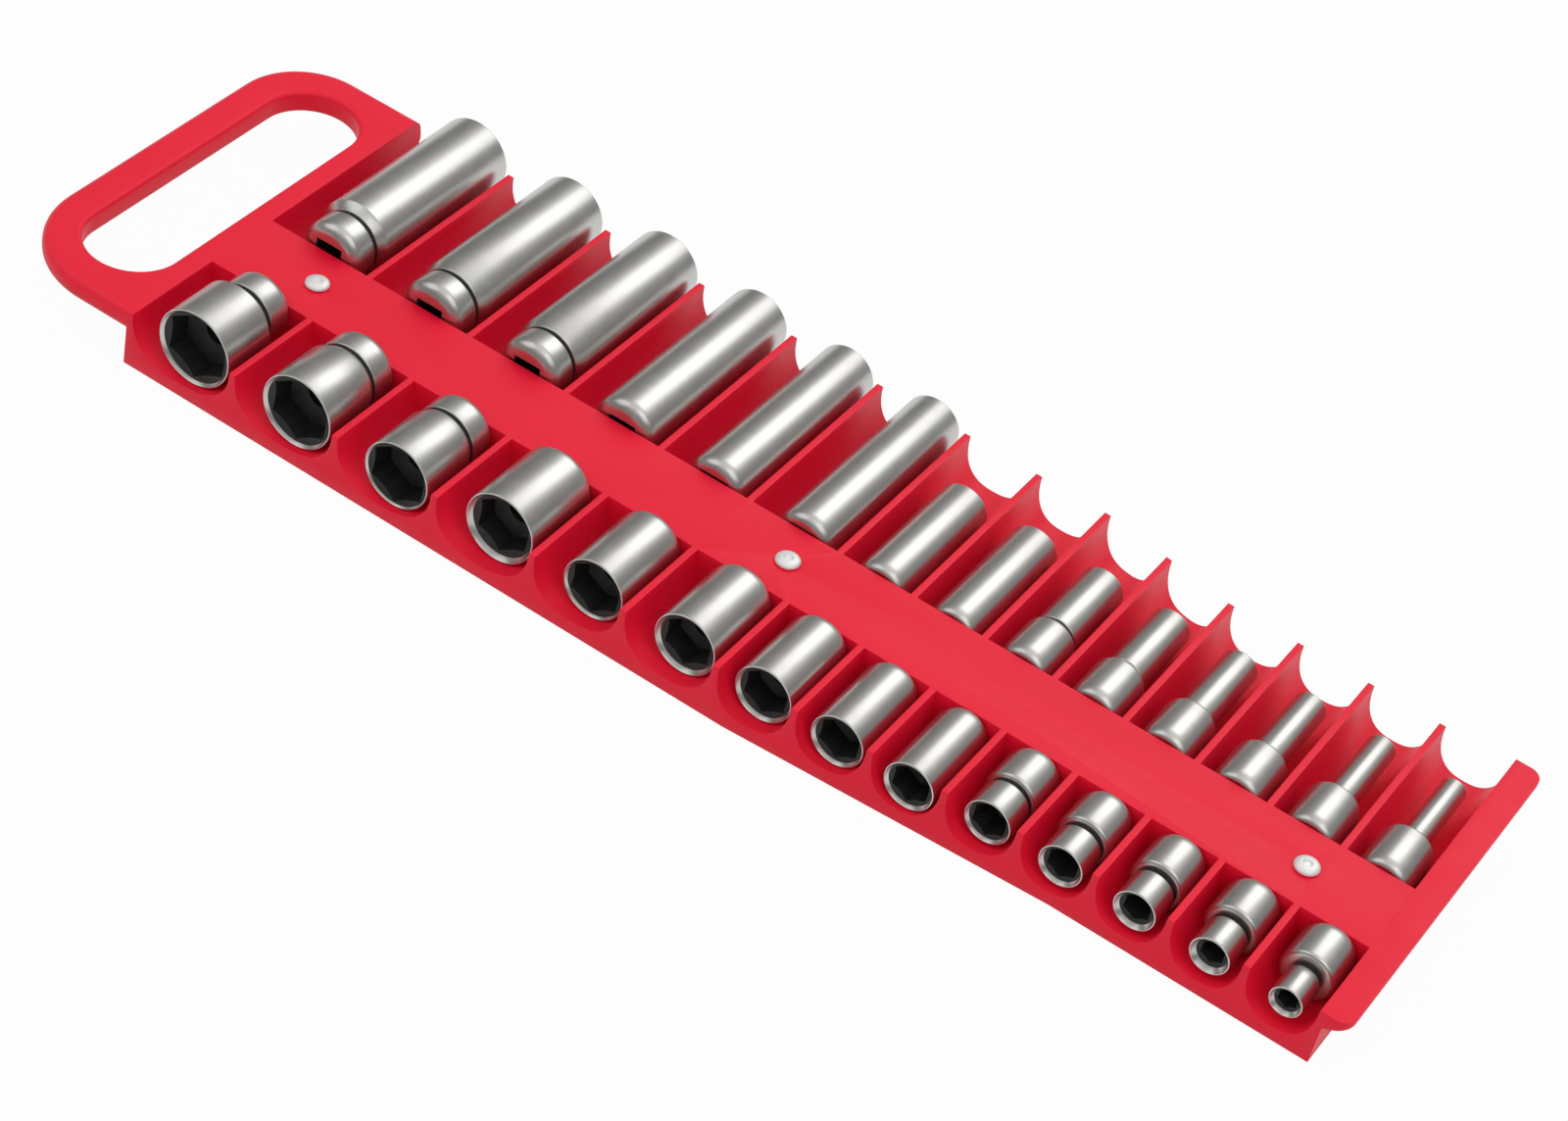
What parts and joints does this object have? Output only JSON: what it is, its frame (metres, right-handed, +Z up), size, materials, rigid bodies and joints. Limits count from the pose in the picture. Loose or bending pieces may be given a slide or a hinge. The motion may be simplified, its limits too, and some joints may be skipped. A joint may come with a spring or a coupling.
{
  "type": "socket rail",
  "caption": "Moulded tray with a carrying handle that keeps a row of short and a row of long square-drive sockets in troughs over magnet strips.",
  "frame": {"origin": "middle of the part's box, on the plane that its underside stands on", "axes": "+X along the tray from the handle to the end flange, +Y from the short sockets to the long ones, +Z up"},
  "size_m": [0.3346, 0.101, 0.0227],
  "materials": {
    "red_plastic": "injection-moulded red plastic with a soft gloss",
    "magnet_rubber": "matt dark flexible magnet",
    "satin_chrome": "chrome plate with a satin sheen",
    "aluminium": "plain aluminium blind rivets",
    "zinc_steel": "zinc-plated steel strip"
  },
  "bodies": {
    "rail": {"tray": "red_plastic", "front_magnet_strip": "magnet_rubber", "rear_magnet_strip": "magnet_rubber", "steel_strip": "zinc_steel", "rivet_1": "aluminium", "rivet_2": "aluminium", "rivet_3": "aluminium"},
    "shallow_socket_01": {"shallow_socket_01": "satin_chrome"},
    "shallow_socket_02": {"shallow_socket_02": "satin_chrome"},
    "shallow_socket_03": {"shallow_socket_03": "satin_chrome"},
    "shallow_socket_04": {"shallow_socket_04": "satin_chrome"},
    "shallow_socket_05": {"shallow_socket_05": "satin_chrome"},
    "shallow_socket_06": {"shallow_socket_06": "satin_chrome"},
    "shallow_socket_07": {"shallow_socket_07": "satin_chrome"},
    "shallow_socket_08": {"shallow_socket_08": "satin_chrome"},
    "shallow_socket_09": {"shallow_socket_09": "satin_chrome"},
    "shallow_socket_10": {"shallow_socket_10": "satin_chrome"},
    "shallow_socket_11": {"shallow_socket_11": "satin_chrome"},
    "shallow_socket_12": {"shallow_socket_12": "satin_chrome"},
    "shallow_socket_13": {"shallow_socket_13": "satin_chrome"},
    "shallow_socket_14": {"shallow_socket_14": "satin_chrome"},
    "deep_socket_01": {"deep_socket_01": "satin_chrome"},
    "deep_socket_02": {"deep_socket_02": "satin_chrome"},
    "deep_socket_03": {"deep_socket_03": "satin_chrome"},
    "deep_socket_04": {"deep_socket_04": "satin_chrome"},
    "deep_socket_05": {"deep_socket_05": "satin_chrome"},
    "deep_socket_06": {"deep_socket_06": "satin_chrome"},
    "deep_socket_07": {"deep_socket_07": "satin_chrome"},
    "deep_socket_08": {"deep_socket_08": "satin_chrome"},
    "deep_socket_09": {"deep_socket_09": "satin_chrome"},
    "deep_socket_10": {"deep_socket_10": "satin_chrome"},
    "deep_socket_11": {"deep_socket_11": "satin_chrome"},
    "deep_socket_12": {"deep_socket_12": "satin_chrome"},
    "deep_socket_13": {"deep_socket_13": "satin_chrome"},
    "deep_socket_14": {"deep_socket_14": "satin_chrome"}
  },
  "joints": [
    {"name": "shallow_socket_01_lift", "type": "slide", "parent": "rail", "child": "shallow_socket_01", "axis": [0, 0, 1], "range_m": [0, 0.03]},
    {"name": "shallow_socket_02_lift", "type": "slide", "parent": "rail", "child": "shallow_socket_02", "axis": [0, 0, 1], "range_m": [0, 0.03]},
    {"name": "shallow_socket_03_lift", "type": "slide", "parent": "rail", "child": "shallow_socket_03", "axis": [0, 0, 1], "range_m": [0, 0.03]},
    {"name": "shallow_socket_04_lift", "type": "slide", "parent": "rail", "child": "shallow_socket_04", "axis": [0, 0, 1], "range_m": [0, 0.03]},
    {"name": "shallow_socket_05_lift", "type": "slide", "parent": "rail", "child": "shallow_socket_05", "axis": [0, 0, 1], "range_m": [0, 0.03]},
    {"name": "shallow_socket_06_lift", "type": "slide", "parent": "rail", "child": "shallow_socket_06", "axis": [0, 0, 1], "range_m": [0, 0.03]},
    {"name": "shallow_socket_07_lift", "type": "slide", "parent": "rail", "child": "shallow_socket_07", "axis": [0, 0, 1], "range_m": [0, 0.03]},
    {"name": "shallow_socket_08_lift", "type": "slide", "parent": "rail", "child": "shallow_socket_08", "axis": [0, 0, 1], "range_m": [0, 0.03]},
    {"name": "shallow_socket_09_lift", "type": "slide", "parent": "rail", "child": "shallow_socket_09", "axis": [0, 0, 1], "range_m": [0, 0.03]},
    {"name": "shallow_socket_10_lift", "type": "slide", "parent": "rail", "child": "shallow_socket_10", "axis": [0, 0, 1], "range_m": [0, 0.03]},
    {"name": "shallow_socket_11_lift", "type": "slide", "parent": "rail", "child": "shallow_socket_11", "axis": [0, 0, 1], "range_m": [0, 0.03]},
    {"name": "shallow_socket_12_lift", "type": "slide", "parent": "rail", "child": "shallow_socket_12", "axis": [0, 0, 1], "range_m": [0, 0.03]},
    {"name": "shallow_socket_13_lift", "type": "slide", "parent": "rail", "child": "shallow_socket_13", "axis": [0, 0, 1], "range_m": [0, 0.03]},
    {"name": "shallow_socket_14_lift", "type": "slide", "parent": "rail", "child": "shallow_socket_14", "axis": [0, 0, 1], "range_m": [0, 0.03]},
    {"name": "deep_socket_01_lift", "type": "slide", "parent": "rail", "child": "deep_socket_01", "axis": [0, 0, 1], "range_m": [0, 0.03]},
    {"name": "deep_socket_02_lift", "type": "slide", "parent": "rail", "child": "deep_socket_02", "axis": [0, 0, 1], "range_m": [0, 0.03]},
    {"name": "deep_socket_03_lift", "type": "slide", "parent": "rail", "child": "deep_socket_03", "axis": [0, 0, 1], "range_m": [0, 0.03]},
    {"name": "deep_socket_04_lift", "type": "slide", "parent": "rail", "child": "deep_socket_04", "axis": [0, 0, 1], "range_m": [0, 0.03]},
    {"name": "deep_socket_05_lift", "type": "slide", "parent": "rail", "child": "deep_socket_05", "axis": [0, 0, 1], "range_m": [0, 0.03]},
    {"name": "deep_socket_06_lift", "type": "slide", "parent": "rail", "child": "deep_socket_06", "axis": [0, 0, 1], "range_m": [0, 0.03]},
    {"name": "deep_socket_07_lift", "type": "slide", "parent": "rail", "child": "deep_socket_07", "axis": [0, 0, 1], "range_m": [0, 0.03]},
    {"name": "deep_socket_08_lift", "type": "slide", "parent": "rail", "child": "deep_socket_08", "axis": [0, 0, 1], "range_m": [0, 0.03]},
    {"name": "deep_socket_09_lift", "type": "slide", "parent": "rail", "child": "deep_socket_09", "axis": [0, 0, 1], "range_m": [0, 0.03]},
    {"name": "deep_socket_10_lift", "type": "slide", "parent": "rail", "child": "deep_socket_10", "axis": [0, 0, 1], "range_m": [0, 0.03]},
    {"name": "deep_socket_11_lift", "type": "slide", "parent": "rail", "child": "deep_socket_11", "axis": [0, 0, 1], "range_m": [0, 0.03]},
    {"name": "deep_socket_12_lift", "type": "slide", "parent": "rail", "child": "deep_socket_12", "axis": [0, 0, 1], "range_m": [0, 0.03]},
    {"name": "deep_socket_13_lift", "type": "slide", "parent": "rail", "child": "deep_socket_13", "axis": [0, 0, 1], "range_m": [0, 0.03]},
    {"name": "deep_socket_14_lift", "type": "slide", "parent": "rail", "child": "deep_socket_14", "axis": [0, 0, 1], "range_m": [0, 0.03]}
  ]
}
